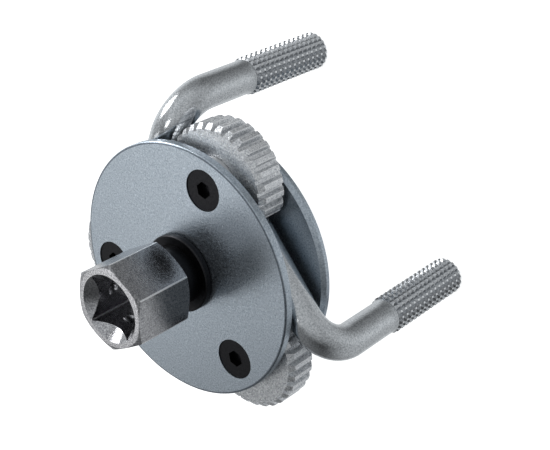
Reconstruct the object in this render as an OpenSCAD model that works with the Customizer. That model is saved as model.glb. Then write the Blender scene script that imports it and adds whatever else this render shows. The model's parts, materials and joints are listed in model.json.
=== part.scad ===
// Three-arm gear-driven filter wrench.
// The square drive stands nose up on the tool's axis, and the three arms reach down.
// The origin is the centre of the square drive's mouth; the row stands on its finger tips.

/* [Plates] */
// Diameter of the two round plates
plate_d = 70; // [68:0.5:72]
// Thickness of each plate
plate_t = 2.5; // [2.3:0.1:3]
// Clear gap between the plates
plate_gap = 12.5; // [12.3:0.1:13.5]
// Bevel on the plates' outer edges
plate_bevel = 0.3; // [0.2:0.1:0.8]
// Bevel on the back plate's inward edge
rim_bevel = 1; // [0.3:0.1:1.2]

/* [Gears] */
// Tooth module of the gear train
gear_module = 1; // [1]
// Teeth on the central gear
sun_teeth = 23; // [23]
// Teeth on each arm gear
arm_teeth = 30; // [30]
// Face width of the arm gears
gear_w = 9.4; // [9.3:0.1:9.6]
// How much each tooth is thinned for backlash
tooth_thinning = 0.16; // [0.1:0.02:0.24]
// How much wider than half the pitch the arm gears' teeth are, and the central gear's narrower
tooth_shift = 0.55; // [0:0.05:0.6]
// Length of the bevel on the arm gears' tooth ends
tooth_bevel = 1.4; // [0.5:0.1:1.5]
// Direction of one central gear tooth, in degrees from +X
sun_phase = 4.4; // [0:0.1:15.6]

/* [Arms] */
// Diameter of the arm's round rod
rod_d = 9.3; // [9:0.1:9.4]
// Diameter over the knurled finger
knurl_d = 10.2; // [10:0.1:10.4]
// Pivot axis to finger axis
arm_reach = 50.7; // [50:0.1:51]
// Centre-line radius of the bend
bend_r = 10.7; // [10:0.1:12]
// Gear mid-plane to finger tip
finger_length = 56; // [54:0.5:60]
// Length of the knurl
knurl_length = 30; // [26:0.5:31]
// Arm direction at rest, in degrees clockwise from its pivot's own direction
closed_angle = 122.5; // [115:0.5:122.5]

/* [Drive] */
// Across flats of the outer hexagon
hex_af = 21; // [21]
// Length of the hexagon
hex_length = 17.6; // [16:0.1:19]
// Direction of one hexagon corner, in degrees from +X
hex_phase = 46; // [0:0.5:59.5]
// Direction one side of the square faces, in degrees from +X
square_phase = 12.5; // [0:0.5:89.5]
// Side of the female square
square_af = 12.8; // [12.75:0.05:12.9]
// Depth of the female square
square_depth = 14.5; // [13:0.1:14.5]
// Radius of the conical mouth at the face
mouth_r = 9.15; // [9:0.05:9.3]
// Mouth of the square to the front plate
drive_proud = 25.8; // [25:0.1:27]
// Radius of the neck under the hexagon
neck_r = 8; // [7.5:0.1:8.5]
// Radius of the collar that lies on the front plate
collar_r = 10.6; // [10:0.1:11]
// Thickness of the collar
collar_t = 2; // [1.5:0.1:2.5]

/* [Fasteners] */
// Diameter of the countersunk heads
head_d = 10.9; // [10.5:0.1:11.2]
// Diameter of the screw thread
screw_d = 6; // [6]
// Across flats of the hexagon socket in the heads
socket_af = 4; // [3.5:0.5:4]
// Radius of the pivot posts
post_r = 6; // [5.5:0.1:6.5]
// How far the heads sit below the plates' faces
head_sunk = 0.3; // [0.1:0.1:0.4]
// Outer radius of the washers
washer_r = 8; // [7.5:0.1:8.4]

/* [Hidden] */
ARMS = ["a", "b", "c"];
$fn = 64;

// Clearances: running fits, slip fits within one body, and the arm gears' end float
running = 0.05;
slip = 0.02;
end_float = 0.1;

// The gear train: the central gear's teeth are stub teeth
pressure_angle = 14.5;
tooth_clearance = 0.25;
stub_addendum = 0.4;
pivot_r = gear_module * (sun_teeth + arm_teeth) / 2;
arm_tip_r = gear_module * (arm_teeth / 2 + 1);
sun_tip_r = gear_module * (sun_teeth / 2 + stub_addendum);
arm_root_r = pivot_r - sun_tip_r - tooth_clearance;
sun_root_r = pivot_r - arm_tip_r - tooth_clearance;
half_pitch = PI * gear_module / 2 - tooth_thinning;
sun_bore_r = neck_r + slip;
sun_bevel = 0.4;
sun_overhang = 0.2;

// Heights along the tool's axis
front_face = -drive_proud;
front_inner = front_face - plate_t;
back_inner = front_inner - plate_gap;
back_face = back_inner - plate_t;
gear_mid = front_inner - plate_gap / 2;
gear_top = gear_mid + gear_w / 2;
gear_bottom = gear_mid - gear_w / 2;
washer_t = (plate_gap - gear_w) / 2 - end_float;
finger_tip = gear_mid - finger_length;
knurl_top = finger_tip + knurl_length;
hex_bottom = -hex_length;

// The arm's rod
rod_r = rod_d / 2;
knurl_r = knurl_d / 2;
seat_r = 13.4;
stub_r = 3.5;
stub_end = 8;
ring_w = 1.2;
tip_bevel = 0.8;

// The drive
hex_corner_r = hex_af / 2 / cos(30);
hex_bevel = 0.9;
spigot_r = 6;
spigot_length = 2.4;
detent_r = 2.2;
detent_depth = 0.9;
detent_z = -7.5;
shoulder_r = 9.5;
journal_r = 6;
tail_length = 3;
circlip_t = 1;
circlip_gap = 0.1;
circlip_groove = 0.6;
circlip_r = 8.4;
collar_bevel = 0.3;

// The screws
screw_r = screw_d / 2;
head_r = head_d / 2;
head_land = 0.3;
cone_h = plate_t - head_sunk - head_land;
shank_length = 5;
socket_depth = 1.8;
countersink_gap = 0.08;

function arm_angle(k) = 90 + 120 * k;
function pivot(k) = pivot_r * [cos(arm_angle(k)), sin(arm_angle(k)), 0];

// Involute teeth: half a tooth's angle at radius r, for a tooth of a given width at the pitch circle
function pitch_circle(teeth) = gear_module * teeth / 2;
function base_circle(teeth) = pitch_circle(teeth) * cos(pressure_angle);
function involute(base, r) = tan(acos(base / r)) * 180 / PI - acos(base / r);
function half_tooth(teeth, width, r) =
    let (base = base_circle(teeth))
    width / 2 / pitch_circle(teeth) * 180 / PI
        + involute(base, pitch_circle(teeth)) - involute(base, max(r, base));
function flank_radii(teeth, root, tip) =
    let (base = base_circle(teeth))
    [root, for (k = [0:4]) base + (tip - base) * k / 4];
function polar(r, angle) = r * [cos(angle), sin(angle)];
function tooth_points(teeth, width, radii, middle) =
    let (last = len(radii) - 1)
    concat(
        [for (r = radii) polar(r, middle - half_tooth(teeth, width, r))],
        [for (k = [0:last]) polar(radii[last - k], middle + half_tooth(teeth, width, radii[last - k]))]
    );
function gear_points(teeth, width, radii, phase) =
    [for (k = [0:teeth - 1]) each tooth_points(teeth, width, radii, phase + 360 * k / teeth)];

// A tooth gap of arm gear k faces the central gear so that the pair is in mesh
sun_step = 360 / sun_teeth;
arm_step = 360 / arm_teeth;
function sun_offset(k) =
    let (raw = sun_phase - arm_angle(k))
    raw - sun_step * round(raw / sun_step);
function gear_phase(k) = arm_angle(k) + 180 - sun_offset(k) * sun_teeth / arm_teeth + arm_step / 2;

// The round envelope that bevels both ends of the teeth
module tooth_envelope(tip, bottom, top, bevel) {
    outer = tip + end_float;
    rotate_extrude()
        polygon([
            [0, bottom],
            [outer - bevel, bottom],
            [outer, bottom + bevel],
            [outer, top - bevel],
            [outer - bevel, top],
            [0, top]
        ]);
}

// The arm gears' toothed body, with one tooth's middle at a given angle
module arm_wheel(phase) {
    width = half_pitch + tooth_shift;
    radii = flank_radii(arm_teeth, arm_root_r, arm_tip_r);
    intersection() {
        translate([0, 0, gear_bottom])
            linear_extrude(gear_w)
                polygon(gear_points(arm_teeth, width, radii, phase));
        tooth_envelope(arm_tip_r, gear_bottom, gear_top, tooth_bevel);
    }
}

// A disc between two heights, with its lower and upper edges bevelled
module bevelled_disc(r, bottom, top, low_bevel, high_bevel) {
    rotate_extrude($fn = 128)
        polygon([
            [0, bottom], [r - low_bevel, bottom], [r, bottom + low_bevel],
            [r, top - high_bevel], [r - high_bevel, top], [0, top]
        ]);
}

module ring(outer, inner, bottom, top) {
    translate([0, 0, bottom])
        difference() {
            cylinder(r = outer, h = top - bottom);
            translate([0, 0, -1])
                cylinder(r = inner, h = top - bottom + 2);
        }
}

// The hole for one countersunk screw, through a plate whose face is at height 0 and faces +Z
module countersink() {
    translate([0, 0, -head_sunk - head_land])
        cylinder(r = head_r + countersink_gap, h = head_sunk + head_land + 1);
    translate([0, 0, -plate_t])
        cylinder(r1 = screw_r + countersink_gap, r2 = head_r + countersink_gap, h = cone_h);
    translate([0, 0, -plate_t - 1])
        cylinder(r = screw_r + countersink_gap, h = 2);
}

// One countersunk screw in that hole
module screw() {
    difference() {
        union() {
            translate([0, 0, -head_sunk - head_land])
                cylinder(r = head_r, h = head_land);
            translate([0, 0, -plate_t])
                cylinder(r1 = screw_r, r2 = head_r, h = cone_h);
            translate([0, 0, -plate_t - shank_length])
                cylinder(r = screw_r, h = shank_length);
        }
        translate([0, 0, -head_sunk - socket_depth])
            cylinder(r = socket_af / 2 / cos(30), h = socket_depth + 1, $fn = 6);
    }
}

module front_plate() {
    color("#9aa8b4")
        difference() {
            bevelled_disc(plate_d / 2, front_inner, front_face, plate_bevel, plate_bevel);
            translate([0, 0, front_inner - 1])
                cylinder(r = neck_r + running, h = plate_t + 2);
            for (k = [0:2])
                translate(pivot(k) + [0, 0, front_face])
                    countersink();
        }
}

module back_plate() {
    color("#8f9ca8")
        difference() {
            bevelled_disc(plate_d / 2, back_face, back_inner, plate_bevel, rim_bevel);
            translate([0, 0, back_face - 1])
                cylinder(r = journal_r + running, h = plate_t + 2);
            for (k = [0:2])
                translate(pivot(k) + [0, 0, back_face])
                    mirror([0, 0, 1])
                        countersink();
        }
}

// The sleeve that an arm gear turns on, tapped from both ends
module post(k) {
    color("#b8c0c6")
        translate(pivot(k))
            ring(post_r, screw_r + running, back_inner, front_inner);
}

module front_screw(k) {
    color("#16181a")
        translate(pivot(k) + [0, 0, front_face])
            screw();
}

module rear_screw(k) {
    color("#16181a")
        translate(pivot(k) + [0, 0, back_face])
            mirror([0, 0, 1])
                screw();
}

module front_washer(k) {
    color("#aab2b8")
        translate(pivot(k))
            ring(washer_r, post_r + running, front_inner - washer_t, front_inner);
}

module rear_washer(k) {
    color("#aab2b8")
        translate(pivot(k))
            ring(washer_r, post_r + running, back_inner, back_inner + washer_t);
}

// An arm gear, with a flat seat and a blind hole for the rod's stub
module gear(k) {
    color("#a9b1b6")
        translate(pivot(k))
            difference() {
                arm_wheel(gear_phase(k));
                translate([0, 0, gear_bottom - 1])
                    cylinder(r = post_r + running, h = gear_w + 2);
                rotate([0, 0, arm_angle(k) - closed_angle])
                    translate([0, 0, gear_mid])
                        rotate([0, 90, 0]) {
                            translate([0, 0, seat_r])
                                cylinder(r = gear_w, h = arm_tip_r);
                            translate([0, 0, stub_end])
                                cylinder(r = stub_r + slip, h = arm_tip_r);
                        }
            }
}

// An arm's bent rod: stub, straight reach, bend and knurled finger
module rod(k) {
    color("#bcc3c8")
        translate(pivot(k))
            rotate([0, 0, arm_angle(k) - closed_angle])
                translate([0, 0, gear_mid]) {
                    rotate([0, 90, 0]) {
                        translate([0, 0, stub_end])
                            cylinder(r = stub_r, h = seat_r - stub_end + 1);
                        translate([0, 0, seat_r])
                            cylinder(r = rod_r, h = arm_reach - bend_r - seat_r);
                    }
                    translate([arm_reach - bend_r, 0, -bend_r])
                        rotate([90, 0, 0])
                            rotate_extrude(angle = 90)
                                translate([bend_r, 0])
                                    circle(r = rod_r);
                    translate([arm_reach, 0, -finger_length])
                        finger();
                }
}

// The straight finger, from its bevelled tip up to the bend
module finger() {
    cylinder(r1 = knurl_r - tip_bevel, r2 = knurl_r, h = tip_bevel);
    translate([0, 0, tip_bevel])
        cylinder(r = knurl_r, h = knurl_length - tip_bevel);
    translate([0, 0, knurl_length])
        cylinder(r1 = knurl_r, r2 = rod_r, h = ring_w / 2);
    translate([0, 0, knurl_length])
        cylinder(r = rod_r, h = finger_length - bend_r - knurl_length);
}

// The outer hexagon with its bevelled ends, the square, its mouth and its detent dimples
module drive_head() {
    color("#cdd2d6")
        rotate([0, 0, hex_phase])
            difference() {
                intersection() {
                    translate([0, 0, hex_bottom])
                        cylinder(r = hex_corner_r, h = hex_length, $fn = 6);
                    bevelled_hex_envelope();
                }
                rotate([0, 0, square_phase - hex_phase])
                    translate([-square_af / 2, -square_af / 2, -square_depth])
                        cube([square_af, square_af, square_depth + 1]);
                translate([0, 0, -mouth_r + 1])
                    cylinder(r1 = 1, r2 = mouth_r, h = mouth_r - 1);
                cylinder(r = mouth_r, h = 1);
                translate([0, 0, hex_bottom - 1])
                    cylinder(r = spigot_r + slip, h = spigot_length + 1);
                for (side = [0:3])
                    rotate([0, 0, square_phase - hex_phase + 90 * side])
                        translate([square_af / 2 - detent_r + detent_depth, 0, detent_z])
                            sphere(r = detent_r);
            }
}

module bevelled_hex_envelope() {
    rotate_extrude($fn = 96)
        polygon([
            [0, hex_bottom],
            [hex_corner_r - 2 * hex_bevel + 0.1, hex_bottom],
            [hex_corner_r + 0.1, hex_bottom + hex_bevel],
            [hex_corner_r + 0.1, -hex_bevel],
            [hex_corner_r - 2 * hex_bevel + 0.1, 0],
            [0, 0]
        ]);
}

// The neck, the front journal, the shoulder behind the central gear and the rear journal
module drive_shaft() {
    shoulder_top = gear_bottom - sun_overhang;
    shoulder_bottom = back_inner + end_float;
    tail_end = back_face - tail_length;
    color("#1c1e20")
        rotate_extrude()
            polygon([
                [0, hex_bottom + spigot_length - end_float],
                [spigot_r, hex_bottom + spigot_length - end_float],
                [spigot_r, hex_bottom],
                [neck_r, hex_bottom],
                [neck_r, shoulder_top],
                [shoulder_r, shoulder_top],
                [shoulder_r, shoulder_bottom],
                [journal_r, shoulder_bottom],
                [journal_r, back_face - circlip_gap],
                [journal_r - circlip_groove, back_face - circlip_gap],
                [journal_r - circlip_groove, back_face - circlip_gap - circlip_t],
                [journal_r, back_face - circlip_gap - circlip_t],
                [journal_r, tail_end + circlip_groove],
                [journal_r - circlip_groove, tail_end],
                [0, tail_end]
            ]);
}

module collar() {
    bottom = front_face + end_float;
    top = bottom + collar_t;
    color("#141618")
        rotate_extrude()
            polygon([
                [neck_r + slip, bottom],
                [collar_r - collar_bevel, bottom],
                [collar_r, bottom + collar_bevel],
                [collar_r, top - collar_bevel],
                [collar_r - collar_bevel, top],
                [neck_r + slip, top]
            ]);
}

module sun_gear() {
    width = half_pitch - tooth_shift;
    radii = flank_radii(sun_teeth, sun_root_r, sun_tip_r);
    bottom = gear_bottom - sun_overhang;
    top = gear_top + sun_overhang;
    color("#a2aab0")
        difference() {
            intersection() {
                translate([0, 0, bottom])
                    linear_extrude(top - bottom)
                        polygon(gear_points(sun_teeth, width, radii, sun_phase));
                tooth_envelope(sun_tip_r, bottom, top, sun_bevel);
            }
            translate([0, 0, bottom - 1])
                cylinder(r = sun_bore_r, h = top - bottom + 2);
        }
}

// An open retaining ring in the groove behind the back plate
module circlip() {
    opening = 50;
    color("#202224")
        translate([0, 0, back_face - circlip_gap - circlip_t])
            rotate([0, 0, opening / 2 - 90])
                rotate_extrude(angle = 360 - opening)
                    translate([journal_r - circlip_groove + slip, slip])
                        square([circlip_r - journal_r + circlip_groove - slip, circlip_t - 2 * slip]);
}

front_plate();
back_plate();
for (k = [0:2]) {
    post(k);
    front_screw(k);
    rear_screw(k);
    front_washer(k);
    rear_washer(k);
    gear(k);
    rod(k);
}
drive_head();
drive_shaft();
collar();
sun_gear();
circlip();
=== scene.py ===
"""The looks of a three-arm, gear-driven filter wrench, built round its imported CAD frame.

The CAD nodes keep their places. The drive head and the arm gears are replaced by copies with
rounded edges, and the bent arms by new meshes with real knurl teeth. The rest keep their shapes.
Everything is in metres, in the row's frame: +Z runs out of the square drive, and pivot a is on +Y.
"""
import json
import math

import bmesh
import bpy
import numpy as np
from mathutils import Matrix, Vector


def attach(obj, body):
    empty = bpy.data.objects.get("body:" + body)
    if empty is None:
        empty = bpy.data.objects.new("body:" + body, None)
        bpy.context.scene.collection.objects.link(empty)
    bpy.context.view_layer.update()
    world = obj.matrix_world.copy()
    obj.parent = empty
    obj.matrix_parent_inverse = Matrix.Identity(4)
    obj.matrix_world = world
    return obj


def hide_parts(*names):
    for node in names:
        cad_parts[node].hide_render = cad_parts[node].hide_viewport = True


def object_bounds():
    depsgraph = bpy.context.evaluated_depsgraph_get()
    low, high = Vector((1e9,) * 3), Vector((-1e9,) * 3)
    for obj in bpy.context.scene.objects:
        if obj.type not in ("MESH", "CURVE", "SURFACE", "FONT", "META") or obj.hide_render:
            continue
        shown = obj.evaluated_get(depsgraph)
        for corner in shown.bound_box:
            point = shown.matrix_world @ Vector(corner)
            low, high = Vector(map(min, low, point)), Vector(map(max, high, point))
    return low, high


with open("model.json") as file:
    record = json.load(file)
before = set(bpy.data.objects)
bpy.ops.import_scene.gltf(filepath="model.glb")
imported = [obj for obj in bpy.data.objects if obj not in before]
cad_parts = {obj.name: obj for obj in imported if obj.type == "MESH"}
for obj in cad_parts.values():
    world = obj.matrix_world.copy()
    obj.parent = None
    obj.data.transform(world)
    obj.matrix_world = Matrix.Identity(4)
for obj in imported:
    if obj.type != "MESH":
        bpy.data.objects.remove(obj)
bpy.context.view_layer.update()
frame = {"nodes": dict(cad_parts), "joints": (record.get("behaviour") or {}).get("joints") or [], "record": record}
scene = bpy.context.scene
nodes = frame["nodes"]
joints = {joint["name"]: joint for joint in frame["joints"]}
mounts = {mount["name"]: mount for mount in frame["record"]["mounts"]}

MM = 0.001
ARMS = "abc"


# ---------------------------------------------------------------- camera, light and floor

CAMERA_PLACE = (0.14318, 0.20407, 0.17449)
CAMERA_TURN = (-26.0964, 39.3674, 18.1970)
CAMERA_LENS = 80.4
CAMERA_SHIFT = (-0.0230, 0.0131)


def camera_axes():
    """The camera's right, up and backward directions, in the row's frame."""
    turn = Matrix.Identity(3)
    for degrees, axis in zip(CAMERA_TURN, "XYZ"):
        turn = Matrix.Rotation(math.radians(degrees), 3, axis) @ turn
    return turn.col[0].copy(), turn.col[1].copy(), turn.col[2].copy()


def add_camera():
    data = bpy.data.cameras.new("camera")
    data.lens = CAMERA_LENS
    data.shift_x, data.shift_y = CAMERA_SHIFT
    data.clip_start = 0.01
    camera = bpy.data.objects.new("camera", data)
    camera.location = CAMERA_PLACE
    camera.rotation_euler = [math.radians(degrees) for degrees in CAMERA_TURN]
    scene.collection.objects.link(camera)
    scene.camera = camera


def add_area_light(name, direction, distance, size, energy):
    """A square soft light that looks back at the middle of the tool."""
    data = bpy.data.lights.new(name, "AREA")
    data.shape = "SQUARE"
    data.size = size
    data.energy = energy
    lamp = bpy.data.objects.new(name, data)
    target = Vector((0, 0, -0.035))
    lamp.location = target + Vector(direction).normalized() * distance
    lamp.rotation_euler = (target - lamp.location).to_track_quat("-Z", "Y").to_euler()
    scene.collection.objects.link(lamp)


def add_lights():
    """Softboxes low on the left and above, as the main view sees the tool, and none on its right."""
    right, up, back = camera_axes()
    add_area_light("left_softbox", -0.88 * right - 0.34 * up, 1.0, 0.42, 0.52)
    add_area_light("upper_softbox", -0.95 * right + 0.7 * up + 0.05 * back, 0.8, 0.35, 2.4)
    add_area_light("key_light", -0.56 * right - 0.22 * up + 0.78 * back, 1.0, 0.16, 0.6)
    world = bpy.data.worlds.new("studio")
    world.use_nodes = True
    tree = world.node_tree
    direction = tree.nodes.new("ShaderNodeTexCoord").outputs["Generated"]
    glows = (
        (-1.0 * right - 0.2 * up, -0.2, 1.0, 0.17),
        (up - 1.0 * right, 0.1, 1.0, 0.30),
        (back + 0.2 * up + 0.1 * right, 0.30, 1.0, 0.48),
        (right - 0.4 * up - 0.4 * back, 0.3, 1.0, 0.48),
        (right + 0.55 * up, 0.60, 1.0, 0.26),
        (-1.0 * back + 0.2 * up - 0.2 * right, 0.4, 0.95, 0.60),
    )
    total = None
    for towards, low, high, strength in glows:
        glow = directional_glow(tree, direction, towards, low, high, strength)
        total = glow if total is None else math_node(tree, "ADD", total, glow)
    total = math_node(tree, "ADD", total, 0.05)
    background = tree.nodes["Background"]
    background.inputs["Color"].default_value = (0.95, 0.98, 1, 1)
    tree.links.new(total, background.inputs["Strength"])
    scene.world = world


def math_node(tree, operation, first, second):
    node = tree.nodes.new("ShaderNodeMath")
    node.operation = operation
    for socket, value in zip(node.inputs, (first, second)):
        if isinstance(value, (int, float)):
            socket.default_value = value
        else:
            tree.links.new(value, socket)
    return node.outputs[0]


def directional_glow(tree, direction, towards, low, high, strength):
    """A smooth glow of the studio walls around one direction."""
    dot = tree.nodes.new("ShaderNodeVectorMath")
    dot.operation = "DOT_PRODUCT"
    dot.inputs[1].default_value = towards.normalized()
    tree.links.new(direction, dot.inputs[0])
    span = tree.nodes.new("ShaderNodeMapRange")
    span.interpolation_type = "SMOOTHSTEP"
    span.inputs["From Min"].default_value = low
    span.inputs["From Max"].default_value = high
    span.inputs["To Max"].default_value = strength
    tree.links.new(dot.outputs["Value"], span.inputs["Value"])
    return span.outputs["Result"]


def add_floor():
    half = 12.0
    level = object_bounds()[0][2] - 0.02 * MM
    mesh = bpy.data.meshes.new("floor")
    corners = [(-half, -half, level), (half, -half, level), (half, half, level), (-half, half, level)]
    mesh.from_pydata(corners, [], [(0, 1, 2, 3)])
    floor = bpy.data.objects.new("floor", mesh)
    floor.visible_glossy = False
    scene.collection.objects.link(floor)
    material = bpy.data.materials.new("pale_floor")
    material.use_nodes = True
    shader = material.node_tree.nodes["Principled BSDF"]
    shader.inputs["Base Color"].default_value = (0.93, 0.93, 0.93, 1)
    shader.inputs["Roughness"].default_value = 0.9
    shader.inputs["Specular IOR Level"].default_value = 0.1
    shader.inputs["Emission Color"].default_value = (1, 1, 1, 1)
    shader.inputs["Emission Strength"].default_value = 0.75
    mesh.materials.append(material)


# ---------------------------------------------------------------- materials

def new_material(name):
    material = bpy.data.materials.new(name)
    material.use_nodes = True
    tree = material.node_tree
    return material, tree, tree.nodes["Principled BSDF"]


def noise(tree, scale, detail=4.0, roughness=0.55):
    """A noise texture in the object's own space; scale is features per millimetre."""
    coordinates = tree.nodes.new("ShaderNodeTexCoord")
    mapping = tree.nodes.new("ShaderNodeMapping")
    mapping.inputs["Scale"].default_value = [scale / MM] * 3
    texture = tree.nodes.new("ShaderNodeTexNoise")
    texture.inputs["Scale"].default_value = 1.0
    texture.inputs["Detail"].default_value = detail
    texture.inputs["Roughness"].default_value = roughness
    tree.links.new(coordinates.outputs["Object"], mapping.inputs["Vector"])
    tree.links.new(mapping.outputs["Vector"], texture.inputs["Vector"])
    return texture.outputs["Fac"]


def ramp(tree, factor, stops):
    """A colour ramp over factor; stops are (position, colour or grey)."""
    node = tree.nodes.new("ShaderNodeValToRGB")
    elements = node.color_ramp.elements
    while len(elements) < len(stops):
        elements.new(0.5)
    for element, (position, colour) in zip(elements, stops):
        element.position = position
        element.color = (*colour, 1) if hasattr(colour, "__len__") else (colour, colour, colour, 1)
    tree.links.new(factor, node.inputs["Fac"])
    return node.outputs["Color"]


def add_bump(tree, shader, heights):
    """Chains bump nodes; heights are (factor, strength, depth in millimetres)."""
    normal = None
    for factor, strength, depth in heights:
        node = tree.nodes.new("ShaderNodeBump")
        node.inputs["Strength"].default_value = strength
        node.inputs["Distance"].default_value = depth * MM
        tree.links.new(factor, node.inputs["Height"])
        if normal is not None:
            tree.links.new(normal, node.inputs["Normal"])
        normal = node.outputs["Normal"]
    tree.links.new(normal, shader.inputs["Normal"])


def metal(name, dark, light, grain, roughness, bumps, metallic=1.0):
    """A plated or bare metal: its colour and gloss both vary with a fine grain."""
    material, tree, shader = new_material(name)
    shader.inputs["Metallic"].default_value = metallic
    speck = noise(tree, grain)
    tree.links.new(ramp(tree, speck, [(0.3, dark), (0.7, light)]), shader.inputs["Base Color"])
    cloud = noise(tree, grain * 0.5, detail=3.0)
    tree.links.new(ramp(tree, cloud, [(0.3, roughness[0]), (0.7, roughness[1])]), shader.inputs["Roughness"])
    add_bump(tree, shader, [(noise(tree, scale), strength, depth) for scale, strength, depth in bumps])
    return material


def radius_mask(tree, inner, outer):
    """1 inside a radius about the tool's axis, falling to 0 at an outer one, in millimetres."""
    coordinates = tree.nodes.new("ShaderNodeTexCoord")
    flat = tree.nodes.new("ShaderNodeVectorMath")
    flat.operation = "MULTIPLY"
    flat.inputs[1].default_value = (1, 1, 0)
    tree.links.new(coordinates.outputs["Object"], flat.inputs[0])
    length = tree.nodes.new("ShaderNodeVectorMath")
    length.operation = "LENGTH"
    tree.links.new(flat.outputs["Vector"], length.inputs[0])
    span = tree.nodes.new("ShaderNodeMapRange")
    span.interpolation_type = "SMOOTHSTEP"
    span.inputs["From Min"].default_value = inner * MM
    span.inputs["From Max"].default_value = outer * MM
    span.inputs["To Min"].default_value = 1.0
    span.inputs["To Max"].default_value = 0.0
    tree.links.new(length.outputs["Value"], span.inputs["Value"])
    return span.outputs["Result"]


def height_mask(tree, low, high):
    """1 below a height along the tool's axis, falling to 0 at a higher one, in millimetres."""
    coordinates = tree.nodes.new("ShaderNodeTexCoord")
    parts = tree.nodes.new("ShaderNodeSeparateXYZ")
    tree.links.new(coordinates.outputs["Object"], parts.inputs[0])
    span = tree.nodes.new("ShaderNodeMapRange")
    span.inputs["From Min"].default_value = low * MM
    span.inputs["From Max"].default_value = high * MM
    span.inputs["To Min"].default_value = 1.0
    span.inputs["To Max"].default_value = 0.0
    tree.links.new(parts.outputs["Z"], span.inputs["Value"])
    return span.outputs["Result"]


def paint_shade(tree, shader, factor, dark):
    """Multiplies the base colour by dark where factor is 0, and leaves it alone where it is 1."""
    colour = shader.inputs["Base Color"].links[0].from_socket
    mix = tree.nodes.new("ShaderNodeMix")
    mix.data_type = "RGBA"
    mix.blend_type = "MULTIPLY"
    mix.inputs["Factor"].default_value = 1.0
    tree.links.new(colour, mix.inputs[6])
    tree.links.new(ramp(tree, factor, [(0.0, dark), (1.0, (1, 1, 1))]), mix.inputs[7])
    tree.links.new(mix.outputs[2], shader.inputs["Base Color"])


def plate_zinc():
    material = metal("plate_zinc", (0.30, 0.36, 0.42), (0.66, 0.72, 0.78), 2.4, (0.27, 0.40),
                     [(2.4, 1.0, 0.045), (0.7, 0.3, 0.05)])
    tree = material.node_tree
    # Painted shade: the plates' rim beyond 34.5 mm from the axis, down to 26 mm along it, is darkened as the dark
    # line along the front plate's sheared edge
    inside = radius_mask(tree, 34.3, 34.5)
    below = height_mask(tree, -26.0, -25.9)
    paint_shade(tree, tree.nodes["Principled BSDF"], math_node(tree, "MAXIMUM", inside, below), (0.35, 0.36, 0.38))
    return material


def gear_zinc():
    return metal("gear_zinc", (0.40, 0.42, 0.45), (0.98, 0.99, 1.0), 2.2, (0.24, 0.38),
                 [(2.2, 1.0, 0.14), (1.0, 0.4, 0.10)], metallic=0.85)


# A lighter copy of gear_zinc for the gears' rounded edges: painted highlight
def gear_edge_highlight():
    return metal("gear_edge_highlight", (0.70, 0.72, 0.74), (0.99, 0.99, 1.0), 2.2, (0.30, 0.45),
                 [(2.2, 0.8, 0.08)], metallic=0.8)


def rod_zinc():
    return metal("rod_zinc", (0.42, 0.44, 0.46), (0.82, 0.84, 0.86), 2.4, (0.13, 0.23),
                 [(2.4, 0.5, 0.03), (0.6, 0.3, 0.05)])


# A darker copy of rod_zinc for the knurl's groove faces: painted shade
def knurl_groove_shade():
    return metal("knurl_groove_shade", (0.34, 0.35, 0.37), (0.76, 0.78, 0.80), 2.4, (0.22, 0.35),
                 [(2.4, 0.5, 0.05)])


# A lighter copy of rod_zinc for the knurl crests: painted highlight
def knurl_crest_highlight():
    return metal("knurl_crest_highlight", (0.85, 0.87, 0.89), (0.98, 0.99, 1.0), 2.4, (0.28, 0.42),
                 [(2.4, 0.5, 0.05)])


# A lighter copy of chrome for the drive head's rounded edges: painted highlight
def chrome_edge_highlight():
    return metal("chrome_edge_highlight", (0.80, 0.80, 0.81), (0.98, 0.98, 0.98), 2.4, (0.30, 0.45),
                 [(2.4, 0.5, 0.03)])


def chrome():
    return metal("chrome", (0.22, 0.22, 0.24), (0.70, 0.70, 0.71), 2.4, (0.12, 0.22),
                 [(2.4, 0.7, 0.04), (0.5, 0.15, 0.05)])


def black_oxide(name="black_oxide"):
    return metal(name, (0.018, 0.018, 0.020), (0.035, 0.035, 0.038), 3.0, (0.32, 0.45),
                 [(4.0, 0.3, 0.02)])


def turned_steel(name="turned_steel"):
    return metal(name, (0.50, 0.51, 0.52), (0.62, 0.63, 0.64), 3.0, (0.30, 0.42),
                 [(4.0, 0.3, 0.02)])


MATERIALS = {
    "plate_zinc": plate_zinc(),
    "gear_zinc": gear_zinc(),
    "rod_zinc": rod_zinc(),
    "chrome": chrome(),
    "black_oxide": black_oxide(),
    "black_collar": black_oxide("black_collar"),
    "screw_black": black_oxide("screw_black"),
    "post_steel": turned_steel("post_steel"),
    "washer_steel": turned_steel("washer_steel"),
    "spring_steel": black_oxide("spring_steel"),
}
# Lighter copies of the metals for the rounded edges and the knurl crests: painted highlights
PAINTED_HIGHLIGHT = {
    "chrome": chrome_edge_highlight(),
    "gear_zinc": gear_edge_highlight(),
    "rod_zinc": knurl_crest_highlight(),
}
# The knurl's groove faces take a darker copy: painted shade
PAINTED_GROOVE_SHADE = knurl_groove_shade()


def dress(piece, slot):
    piece.data.materials.clear()
    piece.data.materials.append(MATERIALS[slot])


def dress_cad_nodes():
    for entry in frame["record"]["subparts"]:
        dress(nodes[entry["node"]], entry["material_slot"])


# ---------------------------------------------------------------- rounded head and gears

HEAD_ROUNDING = 0.28 * MM
GEAR_ROUNDING = 0.14 * MM
WELD_DISTANCE = 0.002 * MM
LONG_EDGE = 3 * MM
FLAT_ANGLE = math.radians(0.5)
SHARP_ANGLE = math.radians(28)
PAINTED_HIGHLIGHT_INDEX = 1


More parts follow.
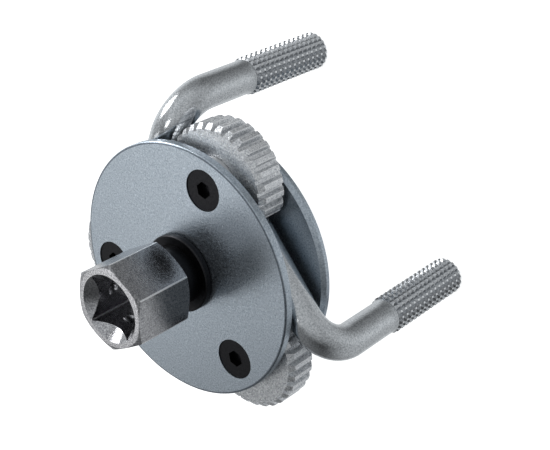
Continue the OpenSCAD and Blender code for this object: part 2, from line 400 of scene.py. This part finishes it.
def rounded_mesh(name, source, width):
    """A CAD node's shape as a new mesh in the row's frame, with its long sharp edges rounded."""
    mesh = bpy.data.meshes.new(name)
    points = [source.matrix_world @ vertex.co for vertex in source.data.vertices]
    mesh.from_pydata(points, [], [tuple(face.vertices) for face in source.data.polygons])
    shape = bmesh.new()
    shape.from_mesh(mesh)
    bmesh.ops.remove_doubles(shape, verts=shape.verts, dist=WELD_DISTANCE)
    bmesh.ops.dissolve_limit(shape, angle_limit=FLAT_ANGLE, verts=shape.verts, edges=shape.edges)
    sharp = [edge for edge in shape.edges if edge.is_manifold and edge.calc_length() > LONG_EDGE
             and edge.calc_face_angle(0) > SHARP_ANGLE]
    # The rounded faces take the lighter copy in the second slot: a painted highlight along the edges
    bmesh.ops.bevel(shape, geom=sharp, offset=width, segments=2, profile=0.5, affect="EDGES",
                    clamp_overlap=False, material=PAINTED_HIGHLIGHT_INDEX)
    for face in shape.faces:
        face.smooth = True
    for edge in shape.edges:
        edge.smooth = edge.calc_face_angle(0) < SHARP_ANGLE
    shape.to_mesh(mesh)
    shape.free()
    return mesh


def add_rounded(node_name, body, slot, width):
    mesh = rounded_mesh(f"rounded_{node_name}", nodes[node_name], width)
    piece = bpy.data.objects.new(f"rounded_{node_name}", mesh)
    scene.collection.objects.link(piece)
    weighting = piece.modifiers.new("flat_faces", "WEIGHTED_NORMAL")
    weighting.weight = 100
    weighting.keep_sharp = True
    mesh.materials.append(MATERIALS[slot])
    mesh.materials.append(PAINTED_HIGHLIGHT[slot])
    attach(piece, body)
    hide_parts(node_name)


# ---------------------------------------------------------------- arms

ROD_R = 4.65 * MM
BEND_R = 10.7 * MM
SEAT_R = 13.4 * MM
KNURL_COLUMNS = 20
KNURL_ROWS = 15
KNURL_PITCH = 2.0 * MM
KNURL_TOP_R = 5.22 * MM
KNURL_BASE_R = 4.42 * MM
KNURL_TOP_SHARE = 0.34
# Arm mesh slots: the crest's lighter copy is a painted highlight, and the groove faces' darker copy is painted
# shade
CREST, GROOVE = 1, 2
SIDES = 2 * KNURL_COLUMNS


class Builder:
    """Collects vertices and faces for one mesh."""

    def __init__(self):
        self.points = []
        self.faces = []
        self.flat = []
        self.painted_light_slot = []

    def add(self, *points):
        first = len(self.points)
        self.points.extend(Vector(p) for p in points)
        return list(range(first, len(self.points)))

    def face(self, *corners, flat=False, painted_light_slot=0):
        self.faces.append(corners)
        self.flat.append(flat)
        self.painted_light_slot.append(painted_light_slot)

    def bridge(self, low, high, flat=False):
        """Quads between two closed rings of the same length."""
        for k in range(len(low)):
            after = (k + 1) % len(low)
            self.face(low[k], low[after], high[after], high[k], flat=flat)

    def mesh(self, name):
        mesh = bpy.data.meshes.new(name)
        mesh.from_pydata([tuple(p) for p in self.points], [], self.faces)
        mesh.polygons.foreach_set("use_smooth", [not flat for flat in self.flat])
        mesh.polygons.foreach_set("material_index", self.painted_light_slot)
        mesh.validate()
        mesh.update()
        return mesh


def rod_path(reach, length):
    """Stations along the rod, from the gear's seat to the finger: centre and forward direction."""
    straight = reach - BEND_R
    stations = [(Vector((x, 0, 0)), Vector((1, 0, 0))) for x in np.linspace(SEAT_R, straight, 14)]
    for angle in np.linspace(0, math.pi / 2, 25)[1:]:
        centre = Vector((straight + BEND_R * math.sin(angle), 0, -BEND_R * (1 - math.cos(angle))))
        stations.append((centre, Vector((math.cos(angle), 0, -math.sin(angle)))))
    knurl_top = length - KNURL_ROWS * KNURL_PITCH
    for depth in np.linspace(BEND_R, knurl_top - 0.9 * MM, 6)[1:]:
        stations.append((Vector((reach, 0, -depth)), Vector((0, 0, -1))))
    return stations, knurl_top


def ring_points(centre, forward, radius):
    """A ring square to forward; its first point is on the side away from the pivot."""
    side = Vector((0, 1, 0))
    out = side.cross(forward)
    points = []
    for k in range(SIDES):
        turn = 2 * math.pi * k / SIDES
        points.append(centre + radius * (math.cos(turn) * out + math.sin(turn) * side))
    return points


def arm_mesh(name, reach, length):
    """One bent rod with its knurled finger, in the arm's own frame: pivot axis Z, rod along +X."""
    builder = Builder()
    stations, knurl_top = rod_path(reach, length)
    down = Vector((0, 0, -1))
    rings = []
    for centre, forward in stations:
        rings.append(builder.add(*ring_points(centre, forward, ROD_R)))
    # A rounded shoulder at the end of the plain rod, and a narrow groove before the knurl
    for depth, radius in ((0.75, 4.72), (0.5, 4.78), (0.25, 4.72), (0.12, 4.5), (0.0, 4.3)):
        centre = Vector((reach, 0, -(knurl_top - depth * MM)))
        rings.append(builder.add(*ring_points(centre, down, radius * MM)))
    for low, high in zip(rings, rings[1:]):
        builder.bridge(low, high)
    builder.face(*reversed(rings[0]), flat=True)
    # The grid of groove crossings
    grid = []
    for row in range(KNURL_ROWS + 1):
        centre = Vector((reach, 0, -(knurl_top + row * KNURL_PITCH)))
        grid.append(builder.add(*ring_points(centre, down, KNURL_BASE_R)))
    builder.bridge(rings[-1], grid[0], flat=True)
    # One truncated pyramid in each cell, two ring steps wide
    for row in range(KNURL_ROWS):
        low, high = grid[row], grid[row + 1]
        middle = Vector((reach, 0, -(knurl_top + (row + 0.5) * KNURL_PITCH)))
        for column in range(KNURL_COLUMNS):
            k0, k1, k2 = 2 * column, 2 * column + 1, (2 * column + 2) % SIDES
            half_turn = math.pi / KNURL_COLUMNS * KNURL_TOP_SHARE
            half_pitch = KNURL_PITCH / 2 * KNURL_TOP_SHARE
            turn = 2 * math.pi * (column + 0.5) / KNURL_COLUMNS
            top = []
            for along, across in ((-1, -1), (-1, 1), (1, 1), (1, -1)):
                angle = turn + across * half_turn
                out = Vector((0, 1, 0)).cross(down)
                offset = math.cos(angle) * out + math.sin(angle) * Vector((0, 1, 0))
                top.append(middle + down * along * half_pitch + offset * KNURL_TOP_R)
            a, b, c, d = builder.add(*top)
            # The four sides take the darker copy, painted shade; the top takes the lighter one, a painted
            # highlight
            builder.face(low[k0], low[k1], low[k2], b, a, flat=True, painted_light_slot=GROOVE)
            builder.face(low[k2], high[k2], c, b, flat=True, painted_light_slot=GROOVE)
            builder.face(high[k2], high[k1], high[k0], d, c, flat=True, painted_light_slot=GROOVE)
            builder.face(high[k0], low[k0], a, d, flat=True, painted_light_slot=GROOVE)
            builder.face(a, b, c, d, flat=True, painted_light_slot=CREST)
    # The finger's end
    end = Vector((reach, 0, -length))
    rim = builder.add(*ring_points(end, down, KNURL_BASE_R - 0.5 * MM))
    builder.bridge(grid[-1], rim, flat=True)
    builder.face(*rim, flat=True)
    return builder.mesh(name)


def add_arms():
    tip = Vector(mounts["finger_tip"]["pos_m"])
    first = Vector(joints["arm_a_swing"]["pos_m"])
    to_tip = tip - first
    reach = math.hypot(to_tip.x, to_tip.y)
    heading = math.atan2(to_tip.y, to_tip.x)
    for number, letter in enumerate(ARMS):
        pivot = Vector(joints[f"arm_{letter}_swing"]["pos_m"])
        place = Matrix.Translation(pivot) @ Matrix.Rotation(heading + number * 2 * math.pi / 3, 4, "Z")
        mesh = arm_mesh(f"arm_rod_{letter}", reach, -to_tip.z)
        mesh.transform(place)
        rod = bpy.data.objects.new(f"arm_rod_{letter}", mesh)
        scene.collection.objects.link(rod)
        for material in (MATERIALS["rod_zinc"], PAINTED_HIGHLIGHT["rod_zinc"], PAINTED_GROOVE_SHADE):
            mesh.materials.append(material)
        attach(rod, f"arm_{letter}")
        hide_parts(f"rod_{letter}")


# ---------------------------------------------------------------- the scene

add_camera()
add_lights()
add_floor()
dress_cad_nodes()
add_rounded("drive_head", "drive", "chrome", HEAD_ROUNDING)
for arm_letter in ARMS:
    add_rounded(f"gear_{arm_letter}", f"arm_{arm_letter}", "gear_zinc", GEAR_ROUNDING)
add_arms()
scene.view_settings.view_transform = "Standard"
